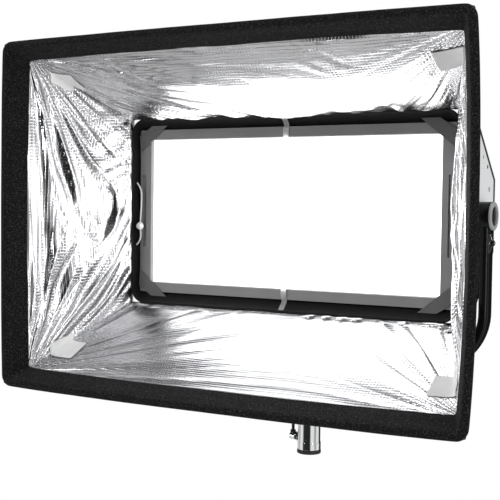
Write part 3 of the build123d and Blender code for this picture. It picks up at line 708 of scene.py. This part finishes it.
def silver(name, color, roughness):
    """Aluminised ripstop: mirror-like crinkles crossed by a square grid of thicker threads."""
    shader = Shader(name, color, roughness, 1.0)
    shader.bump(shader.noise(4.0, 2.0, (1, 0.40, 1), "creases", 0.4), 1.0, 0.0170)
    shader.bump(shader.crease_lines(3, (1, 0.40, 1)), 0.5, 0.0035)
    shader.bump(shader.noise(70, 2.0, (1, 0.45, 1), "UV"), 0.3, 0.0003)
    shader.bump(shader.weave(0.0058), 0.7, 0.00030)
    shader.bump(shader.weave(0.0008), 0.3, 0.00005)
    shader.vary_roughness(shader.noise(12, 4.0, space="UV"), roughness - 0.06, roughness + 0.1)
    return shader


def thin_white(name, color, pitch):
    """White webbing so thin that light from behind shows through it."""
    shader = cloth(name, color, 0.75, pitch, 0.0002, 0.2, "Object")
    through = shader.node("ShaderNodeBsdfTranslucent")
    through.inputs["Color"].default_value = (0.97, 0.97, 0.97, 1.0)
    mix = shader.node("ShaderNodeMixShader")
    mix.inputs["Fac"].default_value = 0.62
    shader.links.new(shader.bsdf.outputs["BSDF"], mix.inputs[1])
    shader.links.new(through.outputs["BSDF"], mix.inputs[2])
    shader.links.new(mix.outputs["Shader"], shader.nodes["Material Output"].inputs["Surface"])
    return shader


def loop_pile(name, color, roughness):
    """Brushed loop fabric: dark fuzz with pale fibre ends."""
    shader = Shader(name, color, roughness, Sheen_Weight=0.03, Sheen_Roughness=0.4, Specular_IOR_Level=0.1)
    fuzz = shader.noise(420, 4.0, (1, 1, 1), "Object", 0.7)
    shader.bump(fuzz, 1.0, 0.0012)
    shader.bump(shader.noise(160, 3.0), 0.5, 0.0009)
    shader.vary_color(shader.ramp(fuzz, 0.52, 0.68), (0.06, 0.06, 0.062), 1.0)
    return shader


def glowing(name, color, strength):
    """Surface that gives light, evenly but for a faint unevenness of its tone."""
    shader = Shader(name, color, 0.35, Emission_Color=(1.0, 1.0, 1.0, 1.0), Emission_Strength=strength)
    shader.bump(shader.noise(900, 2.0), 0.2, 0.00003)
    return shader


def make_materials():
    """One node material for each slot of the record, and one for the strap that hangs before the window."""
    return {
        "yoke_black": painted("yoke_black", (0.005, 0.005, 0.0052), 0.2, gloss=0.16),
        "chrome": bare_metal("chrome", (0.86, 0.87, 0.88), 0.09),
        "ring_rubber": painted("ring_rubber", (0.015, 0.015, 0.015), 0.62, 0.00008),
        "black_steel": painted("black_steel", (0.02, 0.02, 0.022), 0.34, metallic=0.4),
        "brass_shoe": bare_metal("brass_shoe", (0.72, 0.52, 0.24), 0.3),
        "knob_grey": painted("knob_grey", (0.42, 0.43, 0.44), 0.42),
        "black_plastic": painted("black_plastic", (0.02, 0.02, 0.021), 0.5, 0.00007),
        "key_grey": painted("key_grey", (0.3, 0.31, 0.32), 0.55),
        "plate_grey": painted("plate_grey", (0.96, 0.97, 0.98), 0.5, 0.00006),
        "case_black": painted("case_black", (0.022, 0.022, 0.024), 0.45, 0.00009),
        "bezel_grey": painted("bezel_grey", (0.23, 0.23, 0.235), 0.5, 0.00006),
        "opal": glowing("opal", (0.95, 0.95, 0.95), 2.9),
        "white_tray": painted("white_tray", (0.85, 0.85, 0.85), 0.6),
        "circuit_board": painted("circuit_board", (0.75, 0.77, 0.74), 0.4),
        "emitter": glowing("emitter", (0.95, 0.8, 0.35), 1.5),
        "bare_aluminium": bare_metal("bare_aluminium", (0.7, 0.71, 0.72), 0.36, (1, 12, 12)),
        "display": painted("display", (0.01, 0.012, 0.015), 0.08, coat=1.0),
        "black_shell": cloth("black_shell", (0.012, 0.012, 0.013), 0.6, 0.005, 0.00022),
        "silver_lining": silver("silver_lining", (0.62, 0.62, 0.63), 0.16),
        "loop_fabric": loop_pile("loop_fabric", (0.006, 0.006, 0.0065), 0.9),
        "collar_fabric": cloth("collar_fabric", (0.007, 0.007, 0.0075), 0.75, 0.0011, 0.0002),
        "rod_fibre": painted("rod_fibre", (0.02, 0.02, 0.02), 0.4),
        "white_webbing": cloth("white_webbing", (0.97, 0.97, 0.97), 0.7, 0.0014, 0.0002, 0.4, "Object"),
        "backlit_webbing": thin_white("backlit_webbing", (0.97, 0.97, 0.97), 0.0014),
        "grey_webbing": cloth("grey_webbing", (0.16, 0.16, 0.163), 0.75, 0.0016, 0.0003, 0.05, "Object"),
        "white_elastic": cloth("white_elastic", (0.96, 0.96, 0.96), 0.7, 0.0011, 0.0003, 0.1, "Object"),
        "white_ball": painted("white_ball", (0.97, 0.97, 0.97), 0.3, coat=0.3),
    }


BACKLIT_PIECE = "centre_strap_band"


def paint_everything():
    """Gives each CAD node and each new piece the material of its slot."""
    materials = make_materials()
    slots = {part["node"]: part["material_slot"] for part in frame["record"]["subparts"]}
    for thing in list(bpy.data.objects):
        slot = thing.get("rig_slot") or slots.get(thing.name)
        if slot is None or thing.type not in {"MESH", "CURVE"}:
            continue
        if thing.name == BACKLIT_PIECE:
            slot = "backlit_webbing"
        thing.data.materials.clear()
        thing.data.materials.append(materials[slot].material)


paint_everything()


# ---- light and floor
def area_light(name, place, target, size, power):
    """A white rectangular lamp that points at a target."""
    data = bpy.data.lights.new(name, "AREA")
    data.shape = "RECTANGLE"
    data.size, data.size_y = size
    data.energy = power
    lamp = bpy.data.objects.new(name, data)
    bpy.context.scene.collection.objects.link(lamp)
    lamp.location = place
    lamp.rotation_euler = (Vector(target) - Vector(place)).to_track_quat("-Z", "Y").to_euler()


def make_world():
    """White for the camera; for light and reflections a dark studio with bright screens at both sides."""
    world = bpy.data.worlds.new("studio")
    bpy.context.scene.world = world
    world.use_nodes = True
    nodes, links = world.node_tree.nodes, world.node_tree.links

    def math_node(operation, *values):
        node = nodes.new("ShaderNodeMath")
        node.operation = operation
        for socket, value in zip(node.inputs, values):
            if isinstance(value, float):
                socket.default_value = value
            else:
                links.new(value, socket)
        return node.outputs["Value"]

    def fade(source, low, high, dark, bright):
        node = nodes.new("ShaderNodeMapRange")
        for name, value in {"From Min": low, "From Max": high, "To Min": dark, "To Max": bright}.items():
            node.inputs[name].default_value = value
        links.new(source, node.inputs["Value"])
        return node.outputs["Result"]

    coords = nodes.new("ShaderNodeTexCoord")
    split = nodes.new("ShaderNodeSeparateXYZ")
    links.new(coords.outputs["Generated"], split.inputs["Vector"])
    sideways = math_node("ABSOLUTE", split.outputs["X"])
    near_edge = fade(sideways, 0.55, 0.68, 0.0, 0.8)
    far_edge = fade(sideways, 0.93, 0.99, 1.0, 0.25)
    screens = math_node("MULTIPLY", near_edge, far_edge)
    ceiling = fade(split.outputs["Z"], 0.6, 0.9, 0.0, 0.35)
    light = math_node("ADD", math_node("MAXIMUM", screens, ceiling), 0.02)
    path = nodes.new("ShaderNodeLightPath")
    links.new(math_node("MAXIMUM", path.outputs["Is Camera Ray"], light), nodes["Background"].inputs["Color"])


def make_floor():
    """Pale floor well below the clamp, under a stand that isn't part of the object."""
    size, height = 1.6, -1.05
    corners = [(-size, -size, height), (size, -size, height), (size, size, height), (-size, size, height)]
    mesh = bpy.data.meshes.new("floor")
    mesh.from_pydata(corners, [], [(0, 1, 2, 3)])
    floor = bpy.data.objects.new("floor", mesh)
    bpy.context.scene.collection.objects.link(floor)
    shader = Shader("floor_paper", (0.92, 0.92, 0.92), 0.8)
    shader.bump(shader.noise(300, 3.0), 0.2, 0.0002)
    mesh.materials.append(shader.material)


make_world()
make_floor()
area_light("key", (-1.6, -2.4, 1.9), (0, -0.2, 0.45), (1.0, 0.8), 30)
area_light("fill", (2.3, -1.3, 0.6), (0.3, -0.2, 0.4), (0.3, 1.6), 20)
area_light("top", (0.2, -0.1, 2.4), (0, -0.1, 0.4), (1.2, 0.8), 8)
area_light("front", (-1.1, -2.6, 0.2), (0.1, -0.2, 0.45), (0.5, 0.5), 17)
bpy.context.scene.view_settings.view_transform = "Standard"
